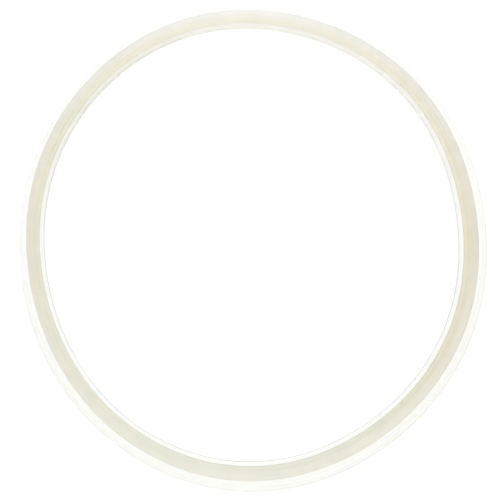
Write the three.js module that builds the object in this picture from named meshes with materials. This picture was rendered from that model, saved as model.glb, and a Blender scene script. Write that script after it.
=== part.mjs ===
// Sealing ring (gasket) of a stovetop pressure cooker, one piece of moulded silicone.
// Millimetres, +Z up. The ring lies flat on its foot, as it does on a table, and the origin is
// at the middle of that resting face. The open end of the seal's C-shaped section faces inward.

import * as THREE from "three";

// Driving dimensions. Radii are means, because a relaxed silicone ring isn't quite round.
const FOOT_RADIUS = 120;          // outermost edge, at the bottom of the flared wall
const FOOT_LAND = 1.2;            // height of the upright land below the flared wall
const SHOULDER_RADIUS = 114.8;    // where the top band turns down into the flared wall
const SHOULDER_DROP = 0.35;       // how far the shoulder lies below the crest
const HEIGHT = 12;                // whole height, foot to crest
const CREST_RADIUS = 110.6;       // middle of the flat crest of the top band
const CREST_WIDTH = 2.6;
const LIP_RADIUS = 105.2;         // inner edge of the thin upper lip
const LIP_THICKNESS = 2.6;        // at its free edge
const LIP_WIDTH = 2.5;            // raised bead along the lip's free edge
const LIP_STEP = 0.22;            // how far the band dips beside the bead
const FOOT_LIP_RADIUS = 110.8;    // inner edge of the lower lip, shorter than the upper one
const FOOT_LIP_THICKNESS = 2.6;   // at its free edge
const GROOVE_HEIGHT = 3.6;        // pressure groove between the two lips, at its back
const GROOVE_FLOOR = 3.9;         // height of the groove's floor at its back
const GROOVE_ROUND = 1.4;         // rounding of the groove's two back corners
const WALL_THICKNESS = 3.4;       // flared wall, measured level from the groove's back
const EDGE_ROUND = 0.6;           // rounding of the foot's edges and the lips' edges
const SHOULDER_ROUND = 0.4;       // rounding between band and wall

// How a relaxed ring departs from a circle: mostly an oval, with slighter waves on top of it.
// Each wave moves the section out and in by its size, and is furthest out in its direction.
const RELAXED_WAVES = [
  { order: 2, size: 3.01, direction: 94 },
  { order: 3, size: 0.44, direction: 15 },
  { order: 4, size: 0.21, direction: -27 },
  { order: 5, size: 0.25, direction: -30 },
  { order: 6, size: 0.18, direction: 39 },
];

// How the foot stands further out or in than that again, with the shoulder as it is.
const FLARE_WAVES = [
  { order: 2, size: 0.22, direction: 22 },
  { order: 4, size: 0.28, direction: 18 },
];

// The section also lies a little wider towards +X and narrower towards -X, about a fixed radius.
const SPLAY = 0.06;
const SPLAY_RADIUS = 112.4;

const SEGMENTS = 96;              // steps around the ring
const ARC_STEPS = 3;              // steps in each rounded corner

// Replaces a corner by an arc that touches both of its sides. Points are (radius, height).
function roundedCorner(before, corner, after, radius) {
  const toBefore = before.clone().sub(corner).normalize();
  const toAfter = after.clone().sub(corner).normalize();
  const halfAngle = Math.acos(toBefore.dot(toAfter)) / 2;
  const middle = toBefore.clone().add(toAfter).normalize();
  const centre = middle.clone().multiplyScalar(radius / Math.sin(halfAngle)).add(corner);
  const touch = radius / Math.tan(halfAngle);
  const start = toBefore.clone().multiplyScalar(touch).add(corner).sub(centre);
  const end = toAfter.clone().multiplyScalar(touch).add(corner).sub(centre);
  const turn = Math.atan2(start.cross(end), start.dot(end));
  const points = [];
  for (let step = 0; step <= ARC_STEPS; step += 1) {
    const swing = (turn * step) / ARC_STEPS;
    points.push(start.clone().rotateAround(new THREE.Vector2(), swing).add(centre));
  }
  return points;
}

// The section's outline, corner by corner from the foot's outer edge up the wall, inward over
// the top, down the lip and round the groove. Each corner gives radius, height and rounding.
function sectionOutline() {
  const shoulderHeight = HEIGHT - SHOULDER_DROP;
  const wallSlope = (FOOT_RADIUS - SHOULDER_RADIUS) / (shoulderHeight - FOOT_LAND);
  const beadOuter = LIP_RADIUS + LIP_WIDTH;
  const lipUnderside = HEIGHT - LIP_THICKNESS;
  const grooveRoof = GROOVE_FLOOR + GROOVE_HEIGHT;
  const grooveMiddle = GROOVE_FLOOR + GROOVE_HEIGHT / 2;
  const grooveBack = FOOT_RADIUS - wallSlope * (grooveMiddle - FOOT_LAND) - WALL_THICKNESS;
  const corners = [
    [FOOT_RADIUS, 0, EDGE_ROUND],
    [FOOT_RADIUS, FOOT_LAND, 0],
    [SHOULDER_RADIUS, shoulderHeight, SHOULDER_ROUND],
    [CREST_RADIUS + CREST_WIDTH / 2, HEIGHT, 0],
    [CREST_RADIUS - CREST_WIDTH / 2, HEIGHT, 0],
    [beadOuter, HEIGHT - LIP_STEP, 0],
    [beadOuter - LIP_STEP, HEIGHT, 0],
    [LIP_RADIUS, HEIGHT, EDGE_ROUND],
    [LIP_RADIUS, lipUnderside, EDGE_ROUND],
    [grooveBack, grooveRoof, GROOVE_ROUND],
    [grooveBack, GROOVE_FLOOR, GROOVE_ROUND],
    [FOOT_LIP_RADIUS, FOOT_LIP_THICKNESS, EDGE_ROUND],
    [FOOT_LIP_RADIUS, 0, EDGE_ROUND],
  ];
  const places = corners.map(([radius, height]) => new THREE.Vector2(radius, height));
  const outline = [];
  corners.forEach(([, , rounding], index) => {
    const corner = places[index];
    if (rounding === 0) {
      outline.push(corner);
      return;
    }
    const before = places[(index + places.length - 1) % places.length];
    const after = places[(index + 1) % places.length];
    outline.push(...roundedCorner(before, corner, after, rounding));
  });
  outline.push(outline[0].clone());
  return outline;
}

// How far waves move the silicone outward in a given direction.
function waveShift(waves, angle) {
  return waves.reduce((shift, { order, size, direction }) => {
    const furthestOut = THREE.MathUtils.degToRad(direction);
    return shift + size * Math.cos(order * (angle - furthestOut));
  }, 0);
}

// Where a radius of the round section lies in a given direction of the relaxed ring.
function relaxedRadius(radius, angle) {
  const splay = 1 + SPLAY * Math.cos(angle);
  const flared = Math.max(0, radius - SHOULDER_RADIUS) / (FOOT_RADIUS - SHOULDER_RADIUS);
  const shift = waveShift(RELAXED_WAVES, angle) + flared * waveShift(FLARE_WAVES, angle);
  return SPLAY_RADIUS + (radius - SPLAY_RADIUS) * splay + shift;
}

// Turns the round ring, made about the Y axis, into the relaxed one that lies in the XY plane.
function relax(geometry) {
  geometry.rotateX(Math.PI / 2);
  const position = geometry.attributes.position;
  for (let index = 0; index < position.count; index += 1) {
    const spoke = new THREE.Vector2(position.getX(index), position.getY(index));
    spoke.setLength(relaxedRadius(spoke.length(), spoke.angle()));
    position.setXY(index, spoke.x, spoke.y);
  }
  geometry.computeBoundingBox();
  const middle = geometry.boundingBox.getCenter(new THREE.Vector3());
  geometry.translate(-middle.x, -middle.y, -geometry.boundingBox.min.z);
  geometry.computeVertexNormals();
}

const silicone = new THREE.MeshStandardMaterial({
  color: 0xe6e1cd,
  roughness: 0.42,
  metalness: 0,
});

const ringGeometry = new THREE.LatheGeometry(sectionOutline(), SEGMENTS);
relax(ringGeometry);
const sealingRing = new THREE.Mesh(ringGeometry, silicone);
sealingRing.name = "sealing_ring";

const gasket = new THREE.Group();
gasket.add(sealingRing);

export default gasket;
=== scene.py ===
"""Sealing ring of a stovetop pressure cooker: one milky ivory silicone moulding that lies relaxed
on a bright white table, seen almost from straight above. Metres, +Z up, in the CAD's frame."""

import math
from typing import NamedTuple

import bpy
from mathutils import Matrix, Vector


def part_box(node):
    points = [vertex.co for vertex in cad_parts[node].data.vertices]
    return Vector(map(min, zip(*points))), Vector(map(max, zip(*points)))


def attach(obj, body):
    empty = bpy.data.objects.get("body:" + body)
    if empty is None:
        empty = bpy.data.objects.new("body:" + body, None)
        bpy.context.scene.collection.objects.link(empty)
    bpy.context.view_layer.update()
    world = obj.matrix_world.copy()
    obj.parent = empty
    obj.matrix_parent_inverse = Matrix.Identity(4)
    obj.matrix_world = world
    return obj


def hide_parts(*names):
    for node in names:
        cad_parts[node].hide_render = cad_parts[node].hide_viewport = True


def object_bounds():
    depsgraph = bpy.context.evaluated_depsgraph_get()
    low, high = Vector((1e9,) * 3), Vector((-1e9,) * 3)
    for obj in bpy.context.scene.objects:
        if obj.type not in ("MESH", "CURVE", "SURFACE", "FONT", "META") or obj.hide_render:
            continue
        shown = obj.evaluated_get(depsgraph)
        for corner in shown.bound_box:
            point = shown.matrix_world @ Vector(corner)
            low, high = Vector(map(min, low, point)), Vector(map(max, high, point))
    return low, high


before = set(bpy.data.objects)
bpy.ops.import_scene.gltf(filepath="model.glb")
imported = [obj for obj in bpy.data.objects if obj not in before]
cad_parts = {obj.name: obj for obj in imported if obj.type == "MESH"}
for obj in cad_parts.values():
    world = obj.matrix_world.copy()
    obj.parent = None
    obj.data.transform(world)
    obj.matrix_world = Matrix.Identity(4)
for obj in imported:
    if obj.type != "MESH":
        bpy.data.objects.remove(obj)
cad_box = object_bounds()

NODE = "sealing_ring"
MM = 0.001

# The section's driving dimensions, in millimetres. Radii are means of the slightly oval ring.
FOOT_RADIUS = 120.0  # outermost edge, at the bottom of the flared wall
FOOT_LAND = 1.2  # height of the upright land below the flared wall
SHOULDER_RADIUS = 114.8  # where the top band turns down into the flared wall
SHOULDER_DROP = 0.35  # how far the shoulder lies below the crest
HEIGHT = 12.0  # whole height, foot to crest
CREST_RADIUS = 110.6  # middle of the flat crest of the band
CREST_WIDTH = 2.6
MARGIN_WIDTH = 2.4  # the band's paler outer margin, from the shoulder inward
MARGIN_DROP = 0.05  # how far the margin's inner edge lies below the crest
LIP_RADIUS = 105.2  # inner edge of the thin upper lip
LIP_THICKNESS = 2.6  # at its free edge
LIP_WIDTH = 2.5  # raised bead along the lip's free edge
LIP_STEP = 0.22  # how far the band dips beside the bead
LIP_STEP_RUN = 0.6 * LIP_STEP  # how far inward the bead's side leans over that step
FOOT_LIP_RADIUS = 110.8  # inner edge of the lower lip, shorter than the upper one
FOOT_LIP_THICKNESS = 2.6  # at its free edge
GROOVE_HEIGHT = 3.6  # pressure groove between the two lips, at its back
GROOVE_FLOOR = 3.9  # height of the groove's floor at its back
WALL_THICKNESS = 3.4  # flared wall, measured level from the groove's back

# The roundings of the section's corners.
FOOT_ROUND = 0.5
LAND_ROUND = 0.3
SHOULDER_ROUND = 0.05
CREST_ROUND = 2.0
STEP_ROUND = 0.15
BEAD_ROUND = 0.2
LIP_TOP_ROUND = 0.3
LIP_FACE_ROUND = 0.2
EDGE_ROUND = 0.6
GROOVE_ROUND = 1.4

# The lip's bevelled inner edge: where it leaves the top, where it steepens and where it ends.
BEVEL_TOP_INSET = 0.6
BEVEL_BEND_INSET = 0.35
BEVEL_BEND_DROP = 0.1
BEVEL_FOOT_DROP = 0.5

# The band's outer edge has painted shade just inside the shoulder, which fades to the band's own
# tone a little further in. Both are steps in radius and height from the shoulder.
BAND_EDGE = (-0.15, 0.07)
BAND_EDGE_END = (-0.8, 0.22)

# How far inward of the foot the foot's tone ends on the wall, and the wall's tone begins. The
# foot's tone is painted shade: a faint dark line along the edge where the wall turns under.
FOOT_TONE_INSET = 0.75
WALL_TONE_INSET = 1.1

# Fine moulded lines run round the wall and the lip.
LINE_DEPTH = 0.06
LINE_WIDTH = 0.45
WALL_LINE_INSET = 2.1  # from the foot inward

# Steps in the arc of the smallest rounding, and how many more there are in one of 1 mm or more.
LEAST_ARC_STEPS = 3
MORE_ARC_STEPS = 4

# How the relaxed ring departs from a circle: order, size in millimetres, direction in degrees.
RELAXED_WAVES = (
    (2, 3.01, 94.0),
    (3, 0.44, 15.0),
    (4, 0.21, -27.0),
    (5, 0.25, -30.0),
    (6, 0.18, 39.0),
)
# How the foot stands further out or in than that again, with the shoulder as it is.
FLARE_WAVES = (
    (2, 0.22, 22.0),
    (4, 0.28, 18.0),
)
# The section lies a little wider towards +X and narrower towards -X, about a fixed radius.
SPLAY = 0.06
SPLAY_RADIUS = 112.4

SEGMENTS = 480  # steps around the ring

# Linear RGB tones of the silicone on the ring's right, back, left and front sides. The milky ivory
# is the silicone's own; the differences between the sides are painted light and shade, each side as
# it was lit. The lip's bevelled edge, its inner face and the foot carry painted shade: the dark
# lines along the lip's inner edge and the foot's edge. The band is darker and warmer by the lip,
# partly as it is thicker there and partly painted shade beside the bead, and paler at its outer
# margin, partly as it is thinner and partly painted light. The lip and the flared wall are pale
# partly as thin silicone and partly painted light from the bright table.
LIT_TONES = {
    "lip": ((0.845, 0.835, 0.805), (0.76, 0.74, 0.69), (0.84, 0.84, 0.80), (0.86, 0.87, 0.83)),
    "lip_edge_shade": ((0.71, 0.71, 0.69), (0.77, 0.76, 0.69), (0.68, 0.68, 0.66), (0.66, 0.66, 0.64)),
    "lip_face": 4 * ((0.79, 0.78, 0.71),),
    "band_inner": (
        (0.685, 0.645, 0.51), (0.72, 0.69, 0.58), (0.68, 0.66, 0.53), (0.70, 0.69, 0.595)
    ),
    "band": ((0.71, 0.67, 0.54), (0.74, 0.72, 0.65), (0.71, 0.69, 0.57), (0.75, 0.73, 0.65)),
    "band_outer": ((0.72, 0.68, 0.58), (0.75, 0.74, 0.69), (0.72, 0.69, 0.60), (0.78, 0.76, 0.68)),
    "wall": ((0.955, 0.93, 0.87), (0.84, 0.84, 0.81), (0.955, 0.945, 0.89), (0.88, 0.88, 0.83)),
    "foot": ((0.80, 0.80, 0.77), (0.79, 0.79, 0.76), (0.86, 0.86, 0.79), (0.82, 0.82, 0.77)),
    "groove": 4 * ((0.76, 0.74, 0.64),),
}

# Stretches of the ring where a few parts are darker: painted shade on the lip and beside it round
# 133 to 143 degrees, and a darker, warmer inner band round 316 degrees. For each, the direction of
# the middle in degrees, the parts, and the share of each channel that they keep there. The higher
# the focus, the shorter the stretches.
DARKER_STRETCHES = (
    (133.0, ("lip",), (0.965, 0.965, 0.945)),
    (139.0, ("lip_edge_shade", "lip_face"), (0.90, 0.91, 0.87)),
    (143.0, ("band_inner",), (0.985, 0.985, 0.955)),
    (316.0, ("band_inner",), (0.96, 0.955, 0.92)),
)
DARKER_STRETCH_FOCUS = 8

# Shares of a part's tone that its moulded lines, the band's outer edge and the lip's side that
# faces the band keep: painted shade in the lines' grooves, along the shoulder and on the sloping
# lip.
LINE_SHADE = 0.965
BAND_EDGE_SHADE = 0.95
LIP_SIDE_SHADE = 0.965


# ---------------------------------------------------------------- section


class Corner(NamedTuple):
    """A corner of the section, with the name of its tone and the share of that tone it keeps."""

    place: Vector
    rounding: float
    tone: str
    shade: float = 1.0


class Point(NamedTuple):
    """A point of the rounded section, with how far along the outline it is."""

    place: Vector
    tone: str
    shade: float
    along: float


def rounded_corner(before, corner, after, radius):
    """Places on an arc that touches both sides of a corner. Radius 0 keeps the corner itself."""
    if radius == 0:
        return [corner]
    to_before = (before - corner).normalized()
    to_after = (after - corner).normalized()
    half_angle = math.acos(to_before.dot(to_after)) / 2
    middle = (to_before + to_after).normalized()
    centre = corner + middle * (radius / math.sin(half_angle))
    touch = radius / math.tan(half_angle)
    start = corner + to_before * touch - centre
    end = corner + to_after * touch - centre
    turn = math.atan2(start.x * end.y - start.y * end.x, start.dot(end))
    arc_steps = LEAST_ARC_STEPS + int(MORE_ARC_STEPS * min(1, radius))
    places = []
    for step in range(arc_steps + 1):
        swing = turn * step / arc_steps
        cosine, sine = math.cos(swing), math.sin(swing)
        spoke = Vector((start.x * cosine - start.y * sine, start.x * sine + start.y * cosine))
        places.append(centre + spoke)
    return places


def moulded_line(middle, ahead, tone):
    """Corners of a fine groove. The outline runs ahead, with the silicone on its left."""
    into_silicone = Vector((-ahead.y, ahead.x))
    return (
        Corner(middle - ahead * LINE_WIDTH / 2, 0.0, tone),
        Corner(middle + into_silicone * LINE_DEPTH, 0.0, tone, LINE_SHADE),
        Corner(middle + ahead * LINE_WIDTH / 2, 0.0, tone),
    )


def wall_corners():
    """The foot's edge, the flared wall with its line, and the shoulder where the band begins."""
    foot = Vector((FOOT_RADIUS, FOOT_LAND))
    shoulder = Vector((SHOULDER_RADIUS, HEIGHT - SHOULDER_DROP))
    up_wall = (shoulder - foot).normalized()
    per_inset = -1 / up_wall.x
    return (
        # The foot's tone is painted shade along the edge where the wall turns under.
        Corner(Vector((FOOT_RADIUS, 0.0)), FOOT_ROUND, "foot"),
        Corner(foot, LAND_ROUND, "foot"),
        Corner(foot + up_wall * FOOT_TONE_INSET * per_inset, 0.0, "foot"),
        Corner(foot + up_wall * WALL_TONE_INSET * per_inset, 0.0, "wall"),
        *moulded_line(foot + up_wall * WALL_LINE_INSET * per_inset, up_wall, "wall"),
        Corner(shoulder, SHOULDER_ROUND, "wall"),
        Corner(shoulder + Vector(BAND_EDGE), SHOULDER_ROUND, "band_outer", BAND_EDGE_SHADE),
        Corner(shoulder + Vector(BAND_EDGE_END), 0.0, "band_outer"),
    )


def band_corners():
    """The broad band from its paler margin over the flat crest to the dip beside the lip's bead."""
    margin = Vector((SHOULDER_RADIUS - MARGIN_WIDTH, HEIGHT - MARGIN_DROP))
    return (
        Corner(margin, 0.0, "band_outer"),
        Corner(Vector((CREST_RADIUS + CREST_WIDTH / 2, HEIGHT)), CREST_ROUND, "band"),
        Corner(Vector((CREST_RADIUS - CREST_WIDTH / 2, HEIGHT)), CREST_ROUND, "band_inner"),
        Corner(Vector((LIP_RADIUS + LIP_WIDTH, HEIGHT - LIP_STEP)), STEP_ROUND, "band_inner"),
    )


def lip_corners():
    """The bead along the thin upper lip, its line, and the lip's bevelled free edge."""
    inward = Vector((-1.0, 0.0))
    bead_top = Vector((LIP_RADIUS + LIP_WIDTH - LIP_STEP_RUN, HEIGHT))
    line = Vector((LIP_RADIUS + LIP_WIDTH / 2, HEIGHT))
    bevel_bend = Vector((LIP_RADIUS + BEVEL_BEND_INSET, HEIGHT - BEVEL_BEND_DROP))
    return (
        Corner(bead_top, BEAD_ROUND, "lip", LIP_SIDE_SHADE),
        *moulded_line(line, inward, "lip"),
        Corner(Vector((LIP_RADIUS + BEVEL_TOP_INSET, HEIGHT)), LIP_TOP_ROUND, "lip"),
        # The bevel and the inner face below it carry painted shade: the dark line along the lip's
        # inner edge.
        Corner(bevel_bend, 0.0, "lip_edge_shade"),
        Corner(Vector((LIP_RADIUS, HEIGHT - BEVEL_FOOT_DROP)), LIP_FACE_ROUND, "lip_edge_shade"),
        Corner(Vector((LIP_RADIUS, HEIGHT - LIP_THICKNESS)), EDGE_ROUND, "lip_face"),
    )


def groove_corners():
    """The pressure groove behind the two lips, and the shorter lower lip."""
    wall_slope = (FOOT_RADIUS - SHOULDER_RADIUS) / (HEIGHT - SHOULDER_DROP - FOOT_LAND)
    middle = GROOVE_FLOOR + GROOVE_HEIGHT / 2
    back = FOOT_RADIUS - wall_slope * (middle - FOOT_LAND) - WALL_THICKNESS
    return (
        Corner(Vector((back, GROOVE_FLOOR + GROOVE_HEIGHT)), GROOVE_ROUND, "groove"),
        Corner(Vector((back, GROOVE_FLOOR)), GROOVE_ROUND, "groove"),
        Corner(Vector((FOOT_LIP_RADIUS, FOOT_LIP_THICKNESS)), EDGE_ROUND, "groove"),
        Corner(Vector((FOOT_LIP_RADIUS, 0.0)), EDGE_ROUND, "groove"),
    )


def section_outline():
    """Points round the whole section, from the foot's outer edge up the wall and over the top."""
    corners = (*wall_corners(), *band_corners(), *lip_corners(), *groove_corners())
    outline = []
    along = 0.0
    for index, corner in enumerate(corners):
        before = corners[index - 1].place
        after = corners[(index + 1) % len(corners)].place
        for place in rounded_corner(before, corner.place, after, corner.rounding):
            along += (place - outline[-1].place).length if outline else 0.0
            outline.append(Point(place, corner.tone, corner.shade, along))
    return outline


def wave_shift(waves, angle):
    """How far waves move the silicone outward in a direction, in millimetres."""
    return sum(
        size * math.cos(order * (angle - math.radians(direction)))
        for order, size, direction in waves
    )


def relaxed_radius(radius, angle):
    """Where a radius of the round section lies in a direction of the relaxed ring."""
    splay = 1 + SPLAY * math.cos(angle)
    flared = max(0.0, radius - SHOULDER_RADIUS) / (FOOT_RADIUS - SHOULDER_RADIUS)
    shift = wave_shift(RELAXED_WAVES, angle) + flared * wave_shift(FLARE_WAVES, angle)
    return SPLAY_RADIUS + (radius - SPLAY_RADIUS) * splay + shift


def tone_at(name, angle):
    """Tone of a part of the section in a direction: a blend of those of the nearest two sides,
    which carry painted light and shade, less what the darker stretches take from it."""
    right, back, left, front = LIT_TONES[name]
    across = right if math.cos(angle) > 0 else left
    along = back if math.sin(angle) > 0 else front
    share = abs(math.sin(angle))
    tone = [(1 - share) * side + share * end for side, end in zip(across, along)]
    for direction, parts, kept in DARKER_STRETCHES:
        if name in parts:
            strength = max(0.0, math.cos(angle - math.radians(direction))) ** DARKER_STRETCH_FOCUS
            tone = [channel * (1 - strength * (1 - keep)) for channel, keep in zip(tone, kept)]
    return tone


# ---------------------------------------------------------------- ring

# Radius of the circle that the streaks' noise runs along: small, so that they stay long.
FLOW_ROUND = 3


def ring_faces(steps):
    """Quads between each copy of the section's outline and the next one round the ring."""
    faces = []
    for segment in range(SEGMENTS):
        here = segment * steps
        there = (segment + 1) % SEGMENTS * steps
        for step in range(steps):
            ahead = (step + 1) % steps
            faces.append((here + step, there + step, there + ahead, here + ahead))
    return faces


def make_ring():
    """Sweeps the section round the relaxed ring. Each vertex carries its tone, and where it is
    along the outline and round the ring, for the streaks."""
    outline = section_outline()
    vertices = []
    tones = []
    flow = []
    for segment in range(SEGMENTS):
        angle = 2 * math.pi * segment / SEGMENTS
        cosine, sine = math.cos(angle), math.sin(angle)
        tone_here = {name: tone_at(name, angle) for name in LIT_TONES}
        for point in outline:
            reach = relaxed_radius(point.place.x, angle) * MM
            vertices.append((reach * cosine, reach * sine, point.place.y * MM))
            tones.extend(channel * point.shade for channel in tone_here[point.tone])
            tones.append(1.0)
            flow.extend((point.along, FLOW_ROUND * cosine, FLOW_ROUND * sine))
    faces = ring_faces(len(outline))
    mesh = bpy.data.meshes.new("silicone_ring")
    mesh.from_pydata(vertices, [], faces)
    mesh.polygons.foreach_set("use_smooth", [True] * len(faces))
    mesh.attributes.new("tone", "FLOAT_COLOR", "POINT").data.foreach_set("color", tones)
    mesh.attributes.new("flow", "FLOAT_VECTOR", "POINT").data.foreach_set("vector", flow)
    mesh.update()
    ring = bpy.data.objects.new("silicone_ring", mesh)
    bpy.context.collection.objects.link(ring)
    centre_on_cad(mesh)
    return ring


def centre_on_cad(mesh):
    """Moves the mesh so that its box and the CAD node's box share a middle and a floor."""
    low, high = (Vector(corner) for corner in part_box(NODE))
    own_low = Vector(min(v.co[axis] for v in mesh.vertices) for axis in range(3))
    own_high = Vector(max(v.co[axis] for v in mesh.vertices) for axis in range(3))
    move = (low + high) / 2 - (own_low + own_high) / 2
    move.z = low.z - own_low.z
    for vertex in mesh.vertices:
        vertex.co += move


# ---------------------------------------------------------------- materials

# Noise keeps mostly between these values, which are spread over the range that is wanted.
NOISE_LOW = 0.3
NOISE_HIGH = 0.7

SCATTER_DEPTH = 0.5 * MM
RELIEF_DEPTH = 0.02 * MM


def silicone_material():
    """Milky silicone: the vertex tones, which carry painted light and shade, with faint streaks and
    clouds, a satin skin and a grain.
    """
    material = bpy.data.materials.new("ivory_silicone")
    material.use_nodes = True
    nodes, links = material.node_tree.nodes, material.node_tree.links
    shader = nodes["Principled BSDF"]
    shader.inputs["IOR"].default_value = 1.41
    shader.inputs["Subsurface Weight"].default_value = 1.0
    shader.inputs["Subsurface Radius"].default_value = (1.0, 1.0, 1.0)
    shader.inputs["Subsurface Scale"].default_value = SCATTER_DEPTH

    tone = nodes.new("ShaderNodeAttribute")
    tone.attribute_name = "tone"
    flow = nodes.new("ShaderNodeAttribute")
    flow.attribute_name = "flow"
    place = nodes.new("ShaderNodeTexCoord")

    def noise(vector, scale, detail):
        texture = nodes.new("ShaderNodeTexNoise")
        texture.inputs["Scale"].default_value = scale
        texture.inputs["Detail"].default_value = detail
        links.new(vector, texture.inputs["Vector"])
        return texture.outputs["Fac"]

    def spread(source, low, high):
        ramp = nodes.new("ShaderNodeMapRange")
        ramp.inputs["From Min"].default_value = NOISE_LOW
        ramp.inputs["From Max"].default_value = NOISE_HIGH
        ramp.inputs["To Min"].default_value = low
        ramp.inputs["To Max"].default_value = high
        links.new(source, ramp.inputs["Value"])
        return ramp.outputs["Result"]

    def add(first, second):
        total = nodes.new("ShaderNodeMath")
        total.operation = "ADD"
        links.new(first, total.inputs[0])
        links.new(second, total.inputs[1])
        return total.outputs[0]

    streaks = noise(flow.outputs["Vector"], scale=1.6, detail=3.0)
    clouds = noise(place.outputs["Object"], scale=140.0, detail=2.0)
    grain = noise(place.outputs["Object"], scale=1500.0, detail=2.0)

    shade = add(spread(streaks, 0.48, 0.52), spread(clouds, 0.48, 0.52))
    tinted = nodes.new("ShaderNodeVectorMath")
    tinted.operation = "SCALE"
    links.new(tone.outputs["Color"], tinted.inputs[0])
    links.new(shade, tinted.inputs["Scale"])
    links.new(tinted.outputs["Vector"], shader.inputs["Base Color"])
    links.new(spread(streaks, 0.26, 0.36), shader.inputs["Roughness"])

    relief = add(spread(streaks, 0.0, 0.8), spread(grain, 0.0, 0.2))
    bump = nodes.new("ShaderNodeBump")
    bump.inputs["Strength"].default_value = 1.0
    bump.inputs["Distance"].default_value = RELIEF_DEPTH
    links.new(relief, bump.inputs["Height"])
    links.new(bump.outputs["Normal"], shader.inputs["Normal"])
    return material


def table_material():
    """A white that glows enough to clip, so that hardly a shadow is left on it."""
    material = bpy.data.materials.new("white_table")
    material.use_nodes = True
    shader = material.node_tree.nodes["Principled BSDF"]
    shader.inputs["Base Color"].default_value = (0.15, 0.15, 0.15, 1)
    shader.inputs["Roughness"].default_value = 0.9
    shader.inputs["Emission Color"].default_value = (1, 1, 1, 1)
    shader.inputs["Emission Strength"].default_value = 0.96
    return material


# ---------------------------------------------------------------- scene

TABLE_RADIUS = 6.0

# Strength of the white surroundings at the horizon and straight above.
HORIZON_STRENGTH = 1.06
ZENITH_STRENGTH = 0.5


def add_table():
    """A round table top, level with the ring's foot and far wider than any view."""
    bpy.ops.mesh.primitive_circle_add(
        radius=TABLE_RADIUS, vertices=128, fill_type="NGON", location=(0, 0, cad_box[0].z)
    )
    table = bpy.context.object
    table.name = "table"
    table.data.materials.append(table_material())


def add_softbox(name, place, target, width, depth, radiance, colour):
    """A rectangular light, turned to its target. Its radiance doesn't change with its size."""
    light = bpy.data.lights.new(name, "AREA")
    light.shape = "RECTANGLE"
    light.size = width
    light.size_y = depth
    light.color = colour
    light.energy = radiance * math.pi * width * depth
    box = bpy.data.objects.new(name, light)
    box.location = place
    box.rotation_mode = "QUATERNION"
    box.rotation_quaternion = (Vector(target) - Vector(place)).to_track_quat("-Z", "Y")
    bpy.context.collection.objects.link(box)


def add_camera():
    """Looks down on the ring from a little towards the front."""
    aim = Vector((-0.00151, -0.00358, 0))
    tilt = math.radians(9.4)
    distance = 0.70
    data = bpy.data.cameras.new("camera")
    data.sensor_width = 36.0
    data.lens = 100.7
    camera = bpy.data.objects.new("camera", data)
    back = Vector((0, -math.sin(tilt), math.cos(tilt)))
    camera.location = aim + back * distance
    camera.rotation_mode = "QUATERNION"
    camera.rotation_quaternion = (-back).to_track_quat("-Z", "Y")
    bpy.context.collection.objects.link(camera)
    bpy.context.scene.camera = camera


def light_scene():
    """White surroundings, brighter at the horizon, an overhead strip and a weak front softbox."""
    world = bpy.data.worlds.new("studio")
    world.use_nodes = True
    nodes, links = world.node_tree.nodes, world.node_tree.links
    nodes["Background"].inputs["Color"].default_value = (1, 1, 1, 1)
    place = nodes.new("ShaderNodeTexCoord")
    split = nodes.new("ShaderNodeSeparateXYZ")
    fade = nodes.new("ShaderNodeMapRange")
    fade.inputs["From Min"].default_value = 0.0
    fade.inputs["From Max"].default_value = 1.0
    fade.inputs["To Min"].default_value = HORIZON_STRENGTH
    fade.inputs["To Max"].default_value = ZENITH_STRENGTH
    links.new(place.outputs["Generated"], split.inputs["Vector"])
    links.new(split.outputs["Z"], fade.inputs["Value"])
    links.new(fade.outputs["Result"], nodes["Background"].inputs["Strength"])
    bpy.context.scene.world = world
    add_softbox(
        "overhead_strip", place=(0, 0.6, 1.2), target=(0, 0.6, 0), width=0.36, depth=1.5,
        radiance=5.5, colour=(0.97, 0.98, 1.0),
    )
    add_softbox(
        "front_softbox", place=(0, -1.3, 0.6), target=(0, 0, 0), width=1.6, depth=0.9,
        radiance=0.8, colour=(1.0, 1.0, 1.0),
    )
    bpy.context.scene.view_settings.view_transform = "Standard"


add_camera()
light_scene()
add_table()
ring = make_ring()
ring.data.materials.append(silicone_material())
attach(ring, "root")
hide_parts(NODE)
